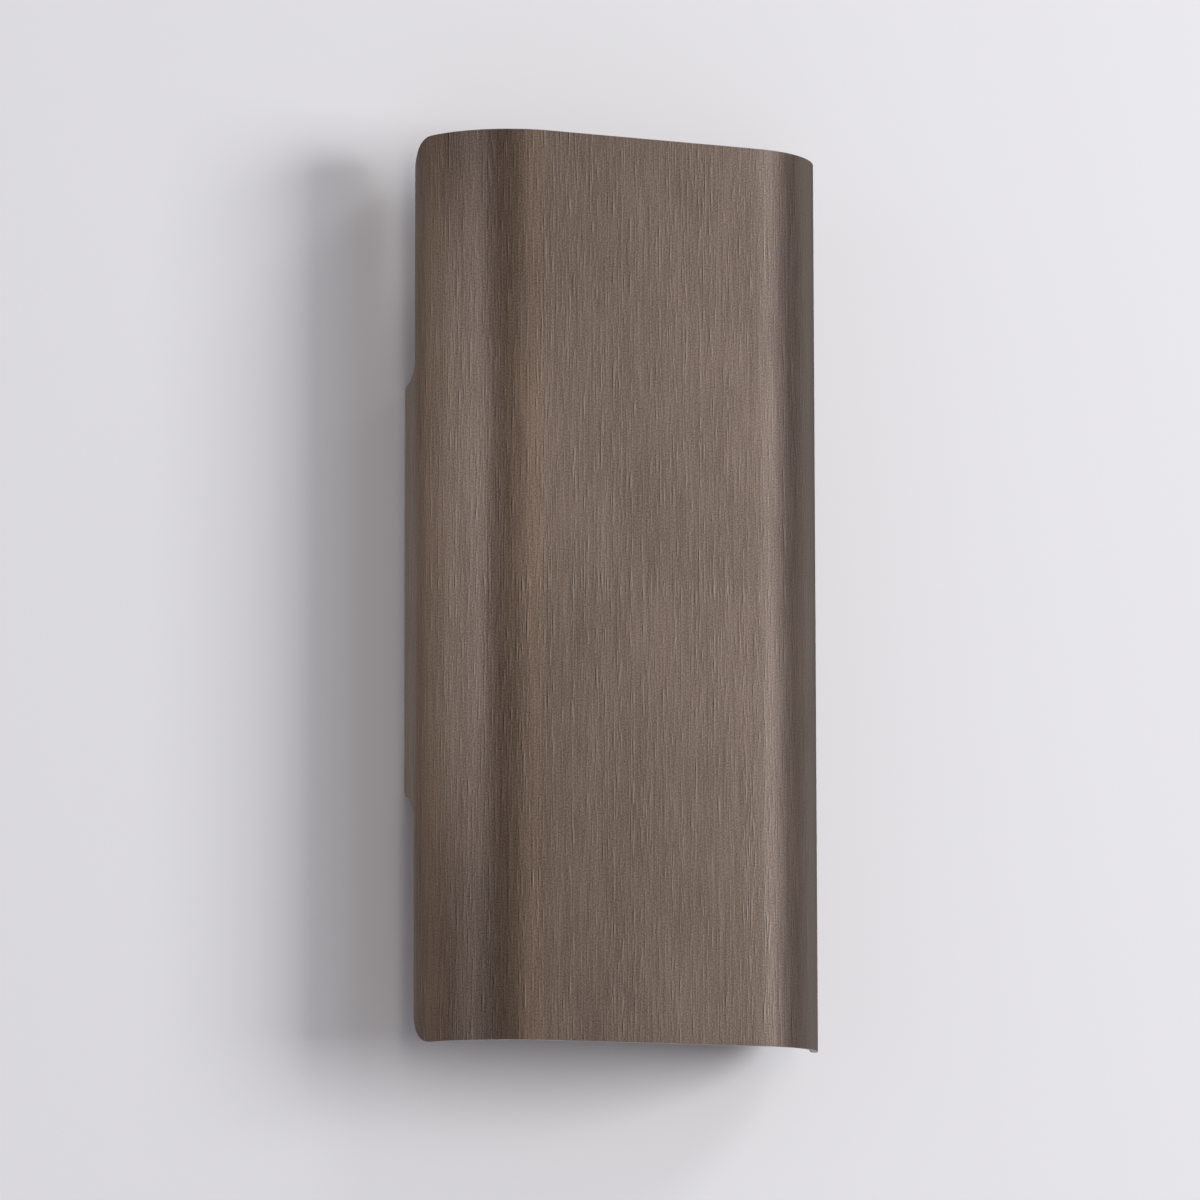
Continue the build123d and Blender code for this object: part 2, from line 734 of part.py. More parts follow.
# Connector and earthing point
earth_bore = earth_stud_radius + press_gap
earth_end_y = plate_front_y - earth_stud_length
parts["terminal_block"] = make_terminal_block()
parts["terminal_barrels"] = make_terminal_barrels()
parts["terminal_screws"] = make_terminal_screws()
parts["terminal_studs"] = make_terminal_studs()
parts["terminal_nuts"] = make_terminal_nuts()
parts["earth_stud"] = rod("Y", earth_x, -earth_drop, (0, earth_end_y), earth_stud_radius)
parts["earth_washers"] = make_earth_washers()
parts["earth_tag"] = make_earth_tag()
parts["earth_nut"] = hex_nut(
    earth_x, -earth_drop, earth_nut_back_y, earth_nut_flats, earth_nut_height, earth_bore
)

# Upper and lower halves with their lamps
halves = {
    "bracket": make_upper_bracket(),
    "lampholder": make_upper_lampholder(),
    "holder_cap": make_upper_holder_cap(),
    "contacts": make_upper_contacts(),
    "holder_screws": make_upper_holder_screws(),
    "lamp_base": make_upper_lamp_base(),
    "lamp_pins": make_upper_lamp_pins(),
    "lamp_core": make_upper_lamp_core(),
    "lamp_glass": make_upper_lamp_glass(),
}
for name, shape in halves.items():
    parts["upper_" + name] = shape
    parts["lower_" + name] = upside_down(shape)

parts.update(make_wires())

os.makedirs("parts", exist_ok=True)
for name, shape in parts.items():
    export_step(shape, "parts/" + name + ".step")
print(len(parts), "nodes written")
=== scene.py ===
import json
import math

import bpy
import numpy as np
from mathutils import Matrix, Vector


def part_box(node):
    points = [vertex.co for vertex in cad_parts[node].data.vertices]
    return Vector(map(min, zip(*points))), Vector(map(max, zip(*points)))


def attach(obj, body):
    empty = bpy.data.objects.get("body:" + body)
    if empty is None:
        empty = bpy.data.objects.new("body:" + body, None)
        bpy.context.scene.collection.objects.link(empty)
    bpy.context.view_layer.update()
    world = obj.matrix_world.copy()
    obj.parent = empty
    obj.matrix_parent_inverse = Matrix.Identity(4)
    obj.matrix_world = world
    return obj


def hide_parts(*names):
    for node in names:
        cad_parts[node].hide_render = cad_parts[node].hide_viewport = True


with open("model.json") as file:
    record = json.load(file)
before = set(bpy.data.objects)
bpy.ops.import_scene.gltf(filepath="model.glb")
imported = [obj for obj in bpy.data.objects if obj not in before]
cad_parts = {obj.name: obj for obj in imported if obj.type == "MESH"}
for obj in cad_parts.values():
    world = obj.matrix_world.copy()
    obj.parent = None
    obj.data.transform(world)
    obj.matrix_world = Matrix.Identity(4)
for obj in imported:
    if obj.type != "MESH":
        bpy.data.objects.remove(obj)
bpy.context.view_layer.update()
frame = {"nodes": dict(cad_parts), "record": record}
cadNodes = frame["nodes"]
print("frame loaded,", len(cadNodes), "pieces")

scene = bpy.context.scene
scene.view_settings.view_transform = "Standard"

# the camera stands to the left of the light and below it, and looks up a little
cameraSet = {
    "place": (-0.9397, -2.0512, -0.2939),   # metres, in the frame of the light
    "turn": 24.60,                          # degrees to the right of straight at the wall
    "tilt": 7.444,                          # degrees upwards
    "roll": 0.083,
    "focalPixels": 6793.5,                  # focal length in pixels of the photo
    "photoWidth": 1200.0,
    "sensor": 36.0,
    "clip": (0.05, 60.0),                   # nearest and farthest things that it shows, in metres
}


def makeCamera(setup):
    data = bpy.data.cameras.new("photoCamera")
    data.sensor_width = setup["sensor"]
    data.lens = setup["sensor"] * setup["focalPixels"] / setup["photoWidth"]
    data.clip_start, data.clip_end = setup["clip"]
    camera = bpy.data.objects.new("photoCamera", data)
    turn, tilt, roll = (math.radians(setup[key]) for key in ("turn", "tilt", "roll"))
    # look along +Y first, then tilt up about X and turn right about Z
    aim = Matrix.Rotation(-turn, 4, "Z") @ Matrix.Rotation(math.pi / 2 + tilt, 4, "X")
    camera.matrix_world = Matrix.Translation(setup["place"]) @ aim @ Matrix.Rotation(-roll, 4, "Z")
    scene.collection.objects.link(camera)
    scene.camera = camera


makeCamera(cameraSet)
print("camera placed")


def wire(tree, nodeType, settings=None, **inputs):
    # one node with its settings and inputs; an input goes by its name, or by i and its number,
    # and is a value or another node's output
    node = tree.nodes.new(nodeType)
    for key, value in (settings or {}).items():
        setattr(node, key, value)
    for key, value in inputs.items():
        byNumber = key[0] == "i" and key[1:].isdigit()
        socket = node.inputs[int(key[1:]) if byNumber else key]
        if isinstance(value, bpy.types.NodeSocket):
            tree.links.new(value, socket)
        else:
            socket.default_value = value
    return node


def calc(tree, operation, first, second=0.0, third=0.0, clamp=False):
    settings = {"operation": operation, "use_clamp": clamp}
    return wire(tree, "ShaderNodeMath", settings, i0=first, i1=second, i2=third).outputs[0]


def blendColour(tree, share, first, second):
    return wire(tree, "ShaderNodeMix", {"data_type": "RGBA"}, i0=share, i6=first, i7=second).outputs[2]


def stretch(tree, value, low, high):
    # the range from low to high becomes the range from 0 to 1
    return wire(tree, "ShaderNodeMapRange", i0=value, i1=low, i2=high).outputs[0]


def newGroup(name, inputs, outputs):
    # inputs are pairs of a label and a kind, and every output is a number
    group = bpy.data.node_groups.new(name, "ShaderNodeTree")
    for label, kind in inputs:
        group.interface.new_socket(label, in_out="INPUT", socket_type="NodeSocket" + kind)
    for label in outputs:
        group.interface.new_socket(label, in_out="OUTPUT", socket_type="NodeSocketFloat")
    return group, group.nodes.new("NodeGroupInput"), group.nodes.new("NodeGroupOutput")


def place(tree, group, **inputs):
    return wire(tree, "ShaderNodeGroup", {"node_tree": group}, **inputs)


hairlineLook = {
    # each kind: shares of the lines per metre across and along, shift across in lines, noise detail
    "kinds": {
        "Lines": (1.0, 0.6, 0.0, 3.0),
        "Streaks": (0.22, 0.2, 0.0, 2.0),
        "Light": (0.75, 1.15, 7.0, 2.0),
        "Dark": (0.75, 1.15, 8.05, 2.0),    # the light scratches again, about one line further across
    },
    "scratches": ("Light", "Dark"),
    "dash": (0.50, 0.70),        # noise at which a dash starts, and at which it is full
    "longAlong": 7.0,            # the long lines that keep their dashes, per metre
    "longDetail": 1.0,
    "longKept": (0.44, 0.62),    # noise at which a long line starts, and at which it is full
    "endSpread": 60.0,           # each line is moved along by its own amount, so that ends form no rows
}


def makeHairlineGroup(look):
    # brushed lines: noise squeezed across the lines and drawn out along them, in two sizes, and
    # light and dark scratches: rows of short dashes, kept only along some long lines
    group, entry, out = newGroup(
        "hairlines", [("Vector", "Vector"), ("Across", "Float"), ("Along", "Float")], list(look["kinds"])
    )
    parts = wire(group, "ShaderNodeSeparateXYZ", Vector=entry.outputs["Vector"])

    def noiseAt(x, y, detail):
        spot = wire(group, "ShaderNodeCombineXYZ", X=x, Y=y, Z=parts.outputs["Z"]).outputs[0]
        return wire(group, "ShaderNodeTexNoise", Vector=spot, Scale=1.0, Detail=detail).outputs["Fac"]

    for label, (acrossShare, alongShare, shift, detail) in look["kinds"].items():
        across = calc(group, "MULTIPLY", entry.outputs["Across"], acrossShare)
        along = calc(group, "MULTIPLY", entry.outputs["Along"], alongShare)
        x = calc(group, "MULTIPLY_ADD", parts.outputs["X"], across, shift)
        line = calc(group, "FLOOR", x)
        chance = wire(group, "ShaderNodeTexWhiteNoise", {"noise_dimensions": "1D"}, W=line)
        start = calc(group, "MULTIPLY", chance.outputs["Value"], look["endSpread"])
        value = noiseAt(x, calc(group, "MULTIPLY_ADD", parts.outputs["Y"], along, start), detail)
        if label in look["scratches"]:
            longY = calc(group, "MULTIPLY_ADD", parts.outputs["Y"], look["longAlong"], start)
            dash = stretch(group, value, *look["dash"])
            kept = stretch(group, noiseAt(x, longY, look["longDetail"]), *look["longKept"])
            value = calc(group, "MULTIPLY", dash, kept)
        group.links.new(value, out.inputs[label])
    return group


cloudLook = {
    "detail": 4.0,
    "roughness": 0.55,
    "middle": 0.5,
}


def makeCloudGroup(look):
    # slow blotches in the tone of a surface: noise up to Soft away from its middle, stretched from 0 to 1
    group, entry, out = newGroup(
        "clouds", [("Vector", "Vector"), ("Scale", "Float"), ("Soft", "Float")], ["Cloud"]
    )
    noise = wire(
        group, "ShaderNodeTexNoise", Vector=entry.outputs["Vector"], Scale=entry.outputs["Scale"],
        Detail=look["detail"], Roughness=look["roughness"],
    )
    low = calc(group, "SUBTRACT", look["middle"], entry.outputs["Soft"])
    high = calc(group, "ADD", look["middle"], entry.outputs["Soft"])
    group.links.new(stretch(group, noise.outputs["Fac"], low, high), out.inputs["Cloud"])
    return group


hairlineGroup = makeHairlineGroup(hairlineLook)
cloudGroup = makeCloudGroup(cloudLook)


def addClouds(tree, spot, look):
    clouds = place(tree, cloudGroup, Vector=spot, Scale=look["cloudScale"], Soft=look["cloudSoft"])
    return clouds.outputs["Cloud"]


def addLines(tree, spot, look):
    across, along = look["lineAcross"], look["lineAlong"]
    return place(tree, hairlineGroup, Vector=spot, Across=across, Along=along).outputs


def addGrain(tree, spot, scale, detail):
    return wire(tree, "ShaderNodeTexNoise", Vector=spot, Scale=scale, Detail=detail).outputs["Fac"]


def colour(red, green, blue):
    return (red, green, blue, 1.0)


def newMaterial(name):
    material = bpy.data.materials.new(name)
    material.use_nodes = True
    tree = material.node_tree
    return material, tree, tree.nodes["Principled BSDF"]


def setFixed(shader, values):
    # what is the same all over the surface
    for label, value in values.items():
        shader.inputs[label].default_value = value


def setVaried(tree, shader, base, rough, height, look):
    # what changes over the surface
    bump = wire(
        tree, "ShaderNodeBump", Strength=look["bumpStrength"], Distance=look["bumpDistance"], Height=height
    )
    for label, value in (("Base Color", base), ("Roughness", rough), ("Normal", bump.outputs[0])):
        tree.links.new(value, shader.inputs[label])


def varyRoughness(tree, value, middle, spread):
    return calc(tree, "MULTIPLY_ADD", value, spread, middle - spread / 2)


bronzeLook = {
    "dark": colour(0.066, 0.0465, 0.0355),
    "light": colour(0.220, 0.1605, 0.1300),
    "copper": colour(0.420, 0.3250, 0.2700),    # where a scratch catches the light
    "groove": colour(0.022, 0.0160, 0.0135),
    # tone from dark to light: a level, with shares of fine lines, streaks, patina and grain added
    "toneLevel": -1.07,
    "lineShare": 1.0,
    "streakShare": 0.5,
    "cloudShare": 0.32,
    "grainShare": 1.35,
    # how far the dark and the light scratches cover that tone
    "grooveShare": 0.95,
    "copperShare": 0.50,
    "roughness": 0.32,
    "roughnessSpread": 0.16,
    "anisotropy": 0.72,
    "lacquer": 0.16,
    "lacquerRoughness": 0.30,
    "lineAcross": 3000.0,    # per metre, as are all scales here
    "lineAlong": 110.0,
    "grain": 1900.0,
    "grainDetail": 1.0,
    "cloudScale": 26.0,
    "cloudSoft": 0.30,
    "cloudSqueeze": (1.0, 0.55, 1.0),    # the clouds of the patina are drawn out along the lines
    "bumpStreaks": 0.6,                  # height of the streaks beside that of the fine lines
    "bumpStrength": 0.10,
    "bumpDistance": 0.00006,
}


def makeBronze(look):
    material, tree, shader = newMaterial("brushedBronze")
    sheetMap = wire(tree, "ShaderNodeUVMap", {"uv_map": "sheetMap"}).outputs[0]
    lines = addLines(tree, sheetMap, look)
    squeezed = wire(tree, "ShaderNodeMapping", Vector=sheetMap, Scale=look["cloudSqueeze"]).outputs[0]
    patina = addClouds(tree, squeezed, look)
    grain = addGrain(tree, sheetMap, look["grain"], look["grainDetail"])
    tone = calc(tree, "MULTIPLY_ADD", lines["Lines"], look["lineShare"], look["toneLevel"])
    tone = calc(tree, "MULTIPLY_ADD", lines["Streaks"], look["streakShare"], tone)
    tone = calc(tree, "MULTIPLY_ADD", patina, look["cloudShare"], tone)
    tone = calc(tree, "MULTIPLY_ADD", grain, look["grainShare"], tone, clamp=True)
    base = blendColour(tree, tone, look["dark"], look["light"])
    for kind, share, scratch in (("Dark", "grooveShare", "groove"), ("Light", "copperShare", "copper")):
        mask = calc(tree, "MULTIPLY", lines[kind], look[share])
        base = blendColour(tree, mask, base, look[scratch])
    rough = varyRoughness(tree, lines["Lines"], look["roughness"], look["roughnessSpread"])
    height = calc(tree, "MULTIPLY_ADD", lines["Streaks"], look["bumpStreaks"], lines["Lines"])
    setVaried(tree, shader, base, rough, height, look)
    tangent = wire(tree, "ShaderNodeTangent", {"direction_type": "UV_MAP", "uv_map": "sheetMap"})
    tree.links.new(tangent.outputs[0], shader.inputs["Tangent"])
    setFixed(shader, {
        "Metallic": 1.0,
        "Anisotropic": look["anisotropy"],
        "Coat Weight": look["lacquer"],
        "Coat Roughness": look["lacquerRoughness"],
    })
    return material


platedLook = {
    "cloudScale": 160.0,
    "cloudSoft": 0.22,
    "cloudShare": 0.7,
    "lineAcross": 5200.0,
    "lineAlong": 624.0,
    "lineShare": 0.3,
    "roughnessSpread": 0.14,
    "bumpStrength": 0.12,
    "bumpDistance": 0.00005,
}
# slot: name of the finish, dark tone, light tone, roughness
platedFinishes = {
    "zinc": ("brightZinc", (0.50, 0.51, 0.52), (0.72, 0.72, 0.70), 0.36),
    "brass": ("turnedBrass", (0.60, 0.42, 0.17), (0.80, 0.61, 0.29), 0.30),
    "tinned": ("tinnedCopper", (0.58, 0.57, 0.54), (0.78, 0.77, 0.74), 0.30),
}


def makePlated(name, dark, light, roughness, look=platedLook):
    # plated or turned metal: a cloudy tone with faint fine lines
    material, tree, shader = newMaterial(name)
    spot = wire(tree, "ShaderNodeTexCoord").outputs["Object"]
    cloud = addClouds(tree, spot, look)
    fine = addLines(tree, spot, look)["Lines"]
    fineTone = calc(tree, "MULTIPLY", fine, look["lineShare"])
    tone = calc(tree, "MULTIPLY_ADD", cloud, look["cloudShare"], fineTone)
    base = blendColour(tree, tone, colour(*dark), colour(*light))
    rough = varyRoughness(tree, cloud, roughness, look["roughnessSpread"])
    setVaried(tree, shader, base, rough, fine, look)
    setFixed(shader, {"Metallic": 1.0})
    return material


solidLook = {
    "cloudScale": 120.0,
    "cloudSoft": 0.25,
    "roughnessSpread": 0.10,
    "skinDetail": 2.0,
    "bumpStrength": 0.25,
}
# slot: name of the finish, dark tone, light tone, roughness, skin texture per metre, its depth in metres
solidFinishes = {
    "plate_white": ("whitePowderCoat", (0.74, 0.73, 0.71), (0.78, 0.77, 0.75), 0.52, 1500.0, 0.00008),
    "rubber_black": ("blackRubber", (0.018, 0.018, 0.018), (0.035, 0.034, 0.033), 0.68, 2600.0, 0.00005),
    "connector_plastic": ("naturalNylon", (0.66, 0.64, 0.57), (0.74, 0.72, 0.65), 0.46, 2200.0, 0.00004),
    "ceramic": ("glazedSteatite", (0.78, 0.76, 0.70), (0.86, 0.84, 0.79), 0.20, 700.0, 0.00004),
    "lamp_ceramic": ("whiteLampCeramic", (0.78, 0.77, 0.74), (0.86, 0.85, 0.82), 0.55, 3000.0, 0.00004),
    "live_sleeve": ("brownSilicone", (0.13, 0.055, 0.028), (0.19, 0.085, 0.045), 0.48, 2600.0, 0.00003),
    "neutral_sleeve": ("blueSilicone", (0.03, 0.10, 0.33), (0.05, 0.15, 0.42), 0.48, 2600.0, 0.00003),
}


def makeSolid(name, dark, light, roughness, grain, bumpDistance, overlay=None, look=solidLook):
    # coatings, mouldings and ceramics: a slow change of tone over a fine skin texture;
    # overlay adds marks to the tone
    material, tree, shader = newMaterial(name)
    spot = wire(tree, "ShaderNodeTexCoord").outputs["Object"]
    cloud = addClouds(tree, spot, look)
    base = blendColour(tree, cloud, colour(*dark), colour(*light))
    if overlay:
        base = overlay(tree, spot, base)
    skin = addGrain(tree, spot, grain, look["skinDetail"])
    rough = varyRoughness(tree, cloud, roughness, look["roughnessSpread"])
    setVaried(tree, shader, base, rough, skin, {**look, "bumpDistance": bumpDistance})
    return material


earthSleeveLook = {
    "finish": ("greenYellowSilicone", (0.03, 0.20, 0.04), (0.05, 0.26, 0.06), 0.48, 2600.0, 0.00003),
    "yellow": colour(0.72, 0.55, 0.03),
    "stripeTurn": (0.5, 0.35, 0.6),
    "stripeScale": 80.0,
    "stripeWave": 0.6,
    "stripeEdge": (0.58, 0.64),
}


def makeEarthSleeve(look):
    # green sleeve with a yellow stripe that winds round it
    def addStripe(tree, spot, green):
        turned = wire(tree, "ShaderNodeMapping", Vector=spot, Rotation=look["stripeTurn"]).outputs[0]
        scale, wave = look["stripeScale"], look["stripeWave"]
        stripe = wire(tree, "ShaderNodeTexWave", Vector=turned, Scale=scale, Distortion=wave)
        edge = stretch(tree, stripe.outputs["Fac"], *look["stripeEdge"])
        return blendColour(tree, edge, green, look["yellow"])

    return makeSolid(*look["finish"], overlay=addStripe)


lampCoreLook = {
    "finish": ("ledBoard", (0.78, 0.77, 0.72), (0.86, 0.85, 0.80), 0.5, 2600.0, 0.00003),
    "chip": colour(0.80, 0.55, 0.06),
    "chipRise": 0.0008,
}


def makeLampCore(look):
    # white board, with the yellow chips told apart by how far they stand off the board
    low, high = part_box("upper_lamp_core")
    middleY = (low.y + high.y) / 2
    boardHalf = (high.y - low.y) / 2 - look["chipRise"] / 2

    def addChips(tree, spot, board):
        spotY = wire(tree, "ShaderNodeSeparateXYZ", Vector=spot).outputs["Y"]
        offset = calc(tree, "ABSOLUTE", calc(tree, "SUBTRACT", spotY, middleY))
        return blendColour(tree, calc(tree, "GREATER_THAN", offset, boardHalf), board, look["chip"])

    return makeSolid(*look["finish"], overlay=addChips)


frostedGlassLook = {
    "dark": colour(0.90, 0.90, 0.89),
    "light": colour(0.97, 0.97, 0.96),
    "cloudScale": 220.0,
    "cloudSoft": 0.3,
    "roughness": 0.39,
    "roughnessSpread": 0.10,
    "grain": 2400.0,
    "grainDetail": 2.0,
    "bumpStrength": 0.2,
    "bumpDistance": 0.00004,
    "clearness": 0.85,
    "bending": 1.46,
}


def makeFrostedGlass(look):
    material, tree, shader = newMaterial("frostedGlass")
    spot = wire(tree, "ShaderNodeTexCoord").outputs["Object"]
    cloud = addClouds(tree, spot, look)
    grain = addGrain(tree, spot, look["grain"], look["grainDetail"])
    base = blendColour(tree, cloud, look["dark"], look["light"])
    rough = varyRoughness(tree, cloud, look["roughness"], look["roughnessSpread"])
    setVaried(tree, shader, base, rough, grain, look)
    setFixed(shader, {"Transmission Weight": look["clearness"], "IOR": look["bending"]})
    return material


materials = {
    "bronze": makeBronze(bronzeLook),
    "earth_sleeve": makeEarthSleeve(earthSleeveLook),
    "core_board": makeLampCore(lampCoreLook),
    "lamp_glass": makeFrostedGlass(frostedGlassLook),
}
materials.update({slot: makePlated(*finish) for slot, finish in platedFinishes.items()})
materials.update({slot: makeSolid(*finish) for slot, finish in solidFinishes.items()})

for part in frame["record"]["subparts"]:
    mesh = cadNodes[part["node"]].data
    mesh.materials.clear()
    mesh.materials.append(materials[part["material_slot"]])


# lengths in metres
shadeForm = {
    "bendRadius": 0.034,
    "sheet": 0.0015,
    "tabReach": 0.008,
    "tabHeight": 0.137,
    "tabCorner": 0.0025,
    "cornerRadius": 0.010,
    "edgeRadius": 0.00035,
    "edgeSegments": 3,
    "edgeAngle": 50.0,      # degrees between two faces from which their edge is eased
    "flatColumns": 14,
    "bendColumns": 40,
    "endColumns": 14,
    "rowStep": 0.0025,
    "edgeRows": 14,
}


def tabTurn(form, tabHalf):
    # heights where the tab's round corner starts and where it runs into the hollow blend
    reach, tip = form["tabReach"], form["tabCorner"]
    span = math.sqrt(reach**2 + 2 * reach * tip)
    return tabHalf + reach - span, tabHalf + reach - span * reach / (reach + tip)


def shadeRows(form, half, tabHalf):
    # heights of the rows, closer together where the side outline turns
    share = np.linspace(0, 1, form["edgeRows"])
    reach, tip = form["tabReach"], form["tabCorner"]
    tipStart, blendStart = tabTurn(form, tabHalf)
    blendTop = tabHalf + reach
    cornerStart = half - form["cornerRadius"]
    middle = np.linspace(0, tipStart, int(tipStart / form["rowStep"]))
    tabTip = tipStart + tip * np.sin(share * math.asin((blendStart - tipStart) / tip))
    firstTurn = math.asin(tip / (reach + tip))
    blend = blendTop - reach * np.cos(firstTurn + share * (np.pi / 2 - firstTurn))
    straight = np.linspace(blendTop, cornerStart, int((cornerStart - blendTop) / form["rowStep"]))
    corner = cornerStart + form["cornerRadius"] * np.sin(share * np.pi / 2)
    upper = np.unique(np.concatenate([middle, tabTip, blend, straight, corner]).round(7))
    return np.concatenate([-upper[:0:-1], upper])


def sideEnd(form, z, half, tabHalf, backY, tabY):
    # how far back the sheet's side reaches at each height: tab and its round corner, hollow blend,
    # back edge, corner
    level = np.abs(z)
    reach, tip, corner = form["tabReach"], form["tabCorner"], form["cornerRadius"]
    tipStart, blendStart = tabTurn(form, tabHalf)
    tabEdge = tabY - tip + np.sqrt(np.clip(tip**2 - np.clip(level - tipStart, 0, None) ** 2, 0, None))
    hollow = tabY - np.sqrt(np.clip(reach**2 - (level - tabHalf - reach) ** 2, 0, None))
    rounded = backY - corner + np.sqrt(np.clip(corner**2 - (level - half + corner) ** 2, 0, None))
    end = np.where(level <= blendStart, tabEdge, hollow)
    end = np.where(level >= tabHalf + reach, backY, end)
    return np.where(level > half - corner, rounded, end)


def makeShadeSheet(form):
    # outer face of the sheet: the plan line (flat, quarter bend, straight tab) run along the height,
    # each row as long as the side outline allows
    low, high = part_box("shade")
    half, halfWidth = (high.z - low.z) / 2, (high.x - low.x) / 2
    tabY = high.y
    backY = tabY - form["tabReach"]
    radius, tabHalf = form["bendRadius"], form["tabHeight"] / 2
    flat = halfWidth - radius
    z = shadeRows(form, half, tabHalf)
    endY = sideEnd(form, z, half, tabHalf, backY, tabY)
    # length along the plan line from the middle of the front to the end of each row
    bendEnd = flat + radius * np.arccos(np.clip((backY - endY) / radius, -1, 1))
    endLength = np.where(endY <= backY, bendEnd, flat + radius * np.pi / 2 + (endY - backY))
    cornerBend = np.arccos(form["cornerRadius"] / radius)
    fixed = np.concatenate([
        np.linspace(0, flat, form["flatColumns"], endpoint=False),
        flat + radius * np.linspace(0, cornerBend, form["bendColumns"], endpoint=False),
    ])
    start = flat + radius * cornerBend
    share = np.linspace(0, 1, form["endColumns"])
    outer = start + share[None, :] * (endLength - start)[:, None]
    rightHalf = np.concatenate([np.broadcast_to(fixed, (len(z), len(fixed))), outer], axis=1)
    along = np.concatenate([-rightHalf[:, :0:-1], rightHalf], axis=1)
    # plan line: x and y from the length along it
    reachAlong = np.abs(along)
    turn = np.clip((reachAlong - flat) / radius, 0, np.pi / 2)
    past = np.clip(reachAlong - flat - radius * np.pi / 2, 0, None)
    x = np.sign(along) * (np.minimum(reachAlong, flat) + radius * np.sin(turn))
    y = backY - radius * np.cos(turn) + past
    height = np.broadcast_to(z[:, None], along.shape)
    points = np.stack([x, y, height], axis=-1).reshape(-1, 3)
    rows, columns = along.shape
    first = (np.arange(rows - 1)[:, None] * columns + np.arange(columns - 1)[None, :]).ravel()
    faces = np.stack([first, first + 1, first + columns + 1, first + columns], axis=1)
    mesh = bpy.data.meshes.new("shade_sheet")
    mesh.from_pydata(points.tolist(), [], faces.tolist())
    sheetMap = mesh.uv_layers.new(name="sheetMap")
    flatMap = np.stack([along, height], axis=-1).reshape(-1, 2)
    sheetMap.data.foreach_set("uv", flatMap[faces.ravel()].astype(np.float32).ravel())
    mesh.polygons.foreach_set("use_smooth", np.ones(len(faces), dtype=bool))
    mesh.materials.append(materials["bronze"])
    piece = bpy.data.objects.new("shade_sheet", mesh)
    scene.collection.objects.link(piece)
    wall = piece.modifiers.new("thickness", "SOLIDIFY")
    wall.thickness = form["sheet"]
    wall.offset = -1.0
    wall.use_even_offset = True
    edge = piece.modifiers.new("easedEdge", "BEVEL")
    edge.width = form["edgeRadius"]
    edge.segments = form["edgeSegments"]
    edge.limit_method = "ANGLE"
    edge.angle_limit = math.radians(form["edgeAngle"])
    edge.harden_normals = True
    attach(piece, "shade_unit")
    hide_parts("shade")


makeShadeSheet(shadeForm)
print("shade sheet made")


stageLook = {
    "tone": colour(0.920, 0.912, 0.928),
    "roughness": 0.9,
    "gloss": 0.1,
    "wallBehind": 0.0004,    # the wall lies just behind the plate, so the two never share a plane
    "wallHalf": 6.0,
    "wallGlow": 0.0,
    "floorDrop": 1.6,
    "floorGlow": 0.40,       # keeps the far floor pale for the camera, and lights nothing else
}


def makeStagePlane(name, corners, glow, look):
    # plain and pale in front, see-through from behind
    material, tree, shader = newMaterial(name)
    setFixed(shader, {
        "Base Color": look["tone"],
        "Emission Color": look["tone"],
        "Emission Strength": glow,
        "Roughness": look["roughness"],
        "Specular IOR Level": look["gloss"],
    })
    back = wire(tree, "ShaderNodeNewGeometry").outputs["Backfacing"]
    clear = wire(tree, "ShaderNodeBsdfTransparent").outputs[0]
    mixed = wire(tree, "ShaderNodeMixShader", i0=back, i1=shader.outputs[0], i2=clear)
    tree.links.new(mixed.outputs[0], tree.nodes["Material Output"].inputs["Surface"])
    mesh = bpy.data.meshes.new(name)
    mesh.from_pydata(corners, [], [(0, 1, 2, 3)])
    mesh.materials.append(material)
    plane = bpy.data.objects.new(name, mesh)
    scene.collection.objects.link(plane)
    # only the camera sees the stage, so it never shades the back of the light
    plane.visible_diffuse = False
    plane.visible_glossy = False
    plane.visible_transmission = False
    plane.visible_shadow = False


def makeStage(look):
    size, y, z = look["wallHalf"], look["wallBehind"], -look["floorDrop"]
    wallCorners = [(-size, y, -size), (size, y, -size), (size, y, size), (-size, y, size)]
    makeStagePlane("wall", wallCorners, look["wallGlow"], look)
    floorCorners = [(-size, -size, z), (size, -size, z), (size, y, z), (-size, y, z)]
    makeStagePlane("floor", floorCorners, look["floorGlow"], look)


makeStage(stageLook)

studioLight = {
    # bearing to the left of straight ahead, height angle, distance, width, height, watts, beam angle, lift
    "key": (-60.0, 7.0, 4.0, 1.30, 1.70, 122.0, 180.0, 0.0),
    "highKey": (-56.0, 44.0, 4.0, 2.00, 0.85, 31.0, 180.0, 0.0),
    "backKey": (155.0, 25.0, 4.0, 2.00, 2.00, 90.0, 180.0, 0.0),
    "rightStrip": (-38.0, 0.0, 0.36, 0.09, 0.50, 0.352, 180.0, 0.10),
    "frontPatch": (-8.0, 0.0, 0.55, 0.20, 0.16, 0.056, 180.0, 0.130),
    "fillStrip": (22.0, 0.0, 0.55, 0.20, 0.22, 0.045, 180.0, 0.10),
    "leftStrip": (57.0, 0.0, 0.55, 0.16, 0.24, 0.055, 100.0, 0.09),
    "sideStrip": (88.0, 0.0, 0.55, 0.16, 0.24, 0.055, 100.0, 0.09),
    "rimStrip": (117.0, 0.0, 0.55, 0.16, 0.24, 0.017, 100.0, 0.09),
}
wallLights = ("key", "highKey", "backKey")   # for matt surfaces; the others are what the metal mirrors
warmStrips = ("fillStrip", "rimStrip")
warmColour = (1.06, 0.95, 0.82)
coolColour = (0.94, 1.0, 1.05)


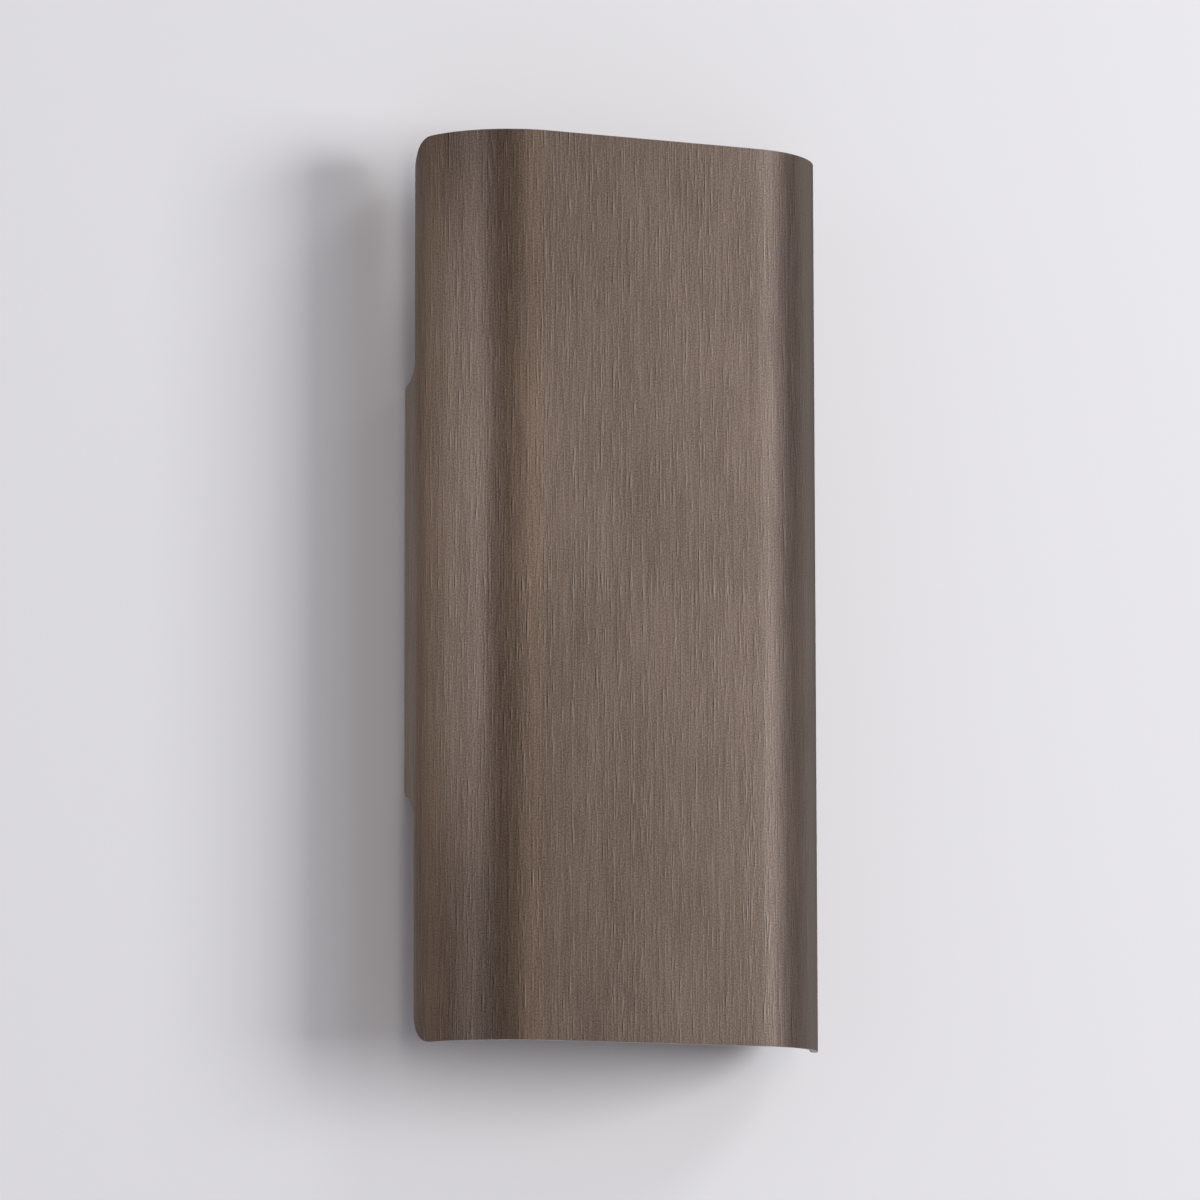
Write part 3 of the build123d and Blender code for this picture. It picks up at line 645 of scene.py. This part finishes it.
def makeLight(name, bearing, rise, distance, width, height, watts, beam, lift):
    side, up = math.radians(bearing), math.radians(rise)
    level = math.cos(up)
    toLight = Vector((-math.sin(side) * level, -math.cos(side) * level, math.sin(up)))
    data = bpy.data.lights.new(name, "AREA")
    data.shape = "RECTANGLE"
    data.size = width
    data.size_y = height
    data.energy = watts
    data.spread = math.radians(beam)
    lamp = bpy.data.objects.new(name, data)
    lamp.location = toLight * distance + Vector((0, 0, lift))
    lamp.rotation_euler = toLight.to_track_quat("Z", "Y").to_euler()
    lamp.visible_glossy = name not in wallLights
    lamp.visible_diffuse = name in wallLights
    if name not in wallLights:
        data.color = warmColour if name in warmStrips else coolColour
    scene.collection.objects.link(lamp)


for lightName, values in studioLight.items():
    makeLight(lightName, *values)

studioWorld = {
    "background": colour(0.76, 0.755, 0.77),   # the pale room, as the camera, metal and glass show it
    "surround": colour(0.245, 0.242, 0.268),   # what the room adds to the lamps on matt surfaces
    "gap": (0.140, 0.110, 0.092),              # the dark between the panels
    # soft upright panels round the light: bearing to the left, half width in degrees, red, green, blue
    "panels": {
        "right": (-46.0, 11.0, 1.50, 1.70, 1.98),
        "front": (-4.5, 11.0, 1.66, 1.59, 1.43),
        "left": (66.0, 13.5, 0.98, 1.06, 1.15),
        "leftBack": (117.0, 18.0, 0.57, 0.54, 0.49),
        "rightBack": (-101.0, 21.0, 0.65, 0.66, 0.67),
        "back": (180.0, 20.0, 1.00, 1.01, 1.02),
    },
    "panelRise": 9.0,      # degrees above level where the panels are brightest
    "panelSpread": 17.0,   # degrees over which they fade into the room upwards and downwards
}


def makeWorld(look):
    world = bpy.data.worlds.new("studio")
    world.use_nodes = True
    scene.world = world
    tree = world.node_tree
    background = tree.nodes["Background"]

    def vector(operation, *values):
        inputs = {"i%d" % number: value for number, value in enumerate(values)}
        return wire(tree, "ShaderNodeVectorMath", {"operation": operation}, **inputs)

    direction = wire(tree, "ShaderNodeTexCoord").outputs["Generated"]
    level = vector("MULTIPLY", direction, (1.0, 1.0, 0.0)).outputs[0]
    heading = vector("NORMALIZE", level).outputs[0]
    # a panel's light is its colour * exp((cosine of the angle from it - 1) * 2 / width squared)
    total = look["gap"]
    for bearing, width, *glow in look["panels"].values():
        side = math.radians(bearing)
        near = vector("DOT_PRODUCT", heading, (-math.sin(side), -math.cos(side), 0.0)).outputs["Value"]
        sharp = 2 / math.radians(width) ** 2
        fall = calc(tree, "EXPONENT", calc(tree, "MULTIPLY_ADD", near, sharp, -sharp))
        total = vector("MULTIPLY_ADD", fall, glow, total).outputs[0]
    # upwards and downwards the panels fade into the room, by exp(-(height angle / spread) squared)
    rise = calc(tree, "ARCSINE", wire(tree, "ShaderNodeSeparateXYZ", Vector=direction).outputs["Z"])
    offset = calc(tree, "SUBTRACT", rise, math.radians(look["panelRise"]))
    steps = calc(tree, "DIVIDE", offset, math.radians(look["panelSpread"]))
    fade = calc(tree, "EXPONENT", calc(tree, "MULTIPLY", calc(tree, "MULTIPLY", steps, steps), -1.0))
    path = wire(tree, "ShaderNodeLightPath")
    room = blendColour(tree, path.outputs["Is Glossy Ray"], look["surround"], look["background"])
    lit = blendColour(tree, fade, room, total)
    direct = calc(tree, "MAXIMUM", path.outputs["Is Camera Ray"], path.outputs["Is Transmission Ray"])
    shown = blendColour(tree, direct, lit, look["background"])
    tree.links.new(shown, background.inputs["Color"])
    background.inputs["Strength"].default_value = 1.0


makeWorld(studioWorld)
print("stage, lights and world made")

bpy.context.view_layer.update()
